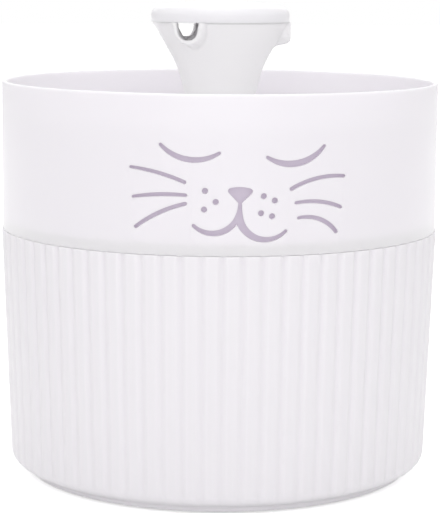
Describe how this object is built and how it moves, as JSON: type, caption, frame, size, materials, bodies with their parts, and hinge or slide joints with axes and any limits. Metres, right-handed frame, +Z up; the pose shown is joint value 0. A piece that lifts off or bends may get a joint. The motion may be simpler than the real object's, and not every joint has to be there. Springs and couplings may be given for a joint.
{
  "type": "pet water fountain",
  "caption": "Round drinking fountain for cats: ribbed shell under a smooth collar pierced by a sleeping cat's face, lift-out tank and dish, trumpet tower with open spouts and a cap.",
  "frame": {"origin": "middle of the base, on the surface under the rubber pads", "axes": "+Z up along the tower's axis, the face looks along -Y, +X is to the right as seen by someone who looks at the face"},
  "size_m": [0.181, 0.181, 0.1957],
  "materials": {
    "shell_white": "satin",
    "tank_plastic": "smooth, lightly translucent",
    "dish_plastic": "smooth",
    "tower_plastic": "smooth",
    "box_plastic": "satin",
    "pump_plastic": "fine grain",
    "wheel_plastic": "smooth",
    "grey_rubber": "matt",
    "clear_silicone": "soft, slightly milky",
    "ferrite": "ground",
    "shaft_steel": "ground",
    "laminated_steel": "stacked sheets",
    "copper_wire": "enamelled winding",
    "resin": "poured",
    "sponge": "open foam",
    "carbon": "granules in mesh",
    "fleece": "felted fibre"
  },
  "bodies": {
    "shell": {"outer_base": "shell_white", "face_band": "shell_white", "rubber_feet": "grey_rubber", "cable_grommet": "grey_rubber"},
    "tank": {"inner_tank": "tank_plastic"},
    "dish": {"drinking_dish": "dish_plastic"},
    "collar": {"tower_collar": "clear_silicone"},
    "tower": {"spout_tower": "tower_plastic", "riser_seal": "clear_silicone"},
    "cap": {"tower_cap": "tower_plastic"},
    "pump": {"filter_box": "box_plastic", "suction_cups": "clear_silicone", "pump_body": "pump_plastic", "volute_cover": "pump_plastic", "intake_grille": "pump_plastic", "pump_sponge": "sponge", "impeller_shaft": "shaft_steel", "shaft_bushings": "clear_silicone", "stator_core": "laminated_steel", "stator_coils": "copper_wire", "potting_cap": "resin", "pump_gland": "grey_rubber", "riser_tube": "dish_plastic", "riser_sleeve": "clear_silicone"},
    "filter": {"filter_lid": "box_plastic", "filter_tray": "box_plastic", "carbon_pack": "carbon", "filter_pad": "fleece"},
    "rotor": {"impeller": "wheel_plastic", "rotor_magnet": "ferrite"}
  },
  "joints": [
    {"name": "tank_lift", "type": "slide", "parent": "shell", "child": "tank", "axis": [0, 0, 1], "range_m": [0, 0.165]},
    {"name": "dish_lift", "type": "slide", "parent": "tank", "child": "dish", "axis": [0, 0, 1], "range_m": [0, 0.1]},
    {"name": "tower_lift", "type": "slide", "parent": "dish", "child": "collar", "axis": [0, 0, 1], "range_m": [0, 0.1]},
    {"name": "tower_swivel", "type": "hinge", "parent": "collar", "child": "tower", "pos_m": [0, 0, 0.14], "axis": [0, 0, 1], "continuous": true},
    {"name": "cap_lift", "type": "slide", "parent": "tower", "child": "cap", "axis": [0, 0, 1], "range_m": [0, 0.02]},
    {"name": "pump_lift", "type": "slide", "parent": "tank", "child": "pump", "axis": [0, 0, 1], "range_m": [0, 0.02]},
    {"name": "filter_lift", "type": "slide", "parent": "pump", "child": "filter", "axis": [0, 0, 1], "range_m": [0, 0.02]},
    {"name": "impeller_spin", "type": "hinge", "parent": "pump", "child": "rotor", "pos_m": [0, 0, 0.0318], "axis": [0, 1, 0], "continuous": true}
  ]
}
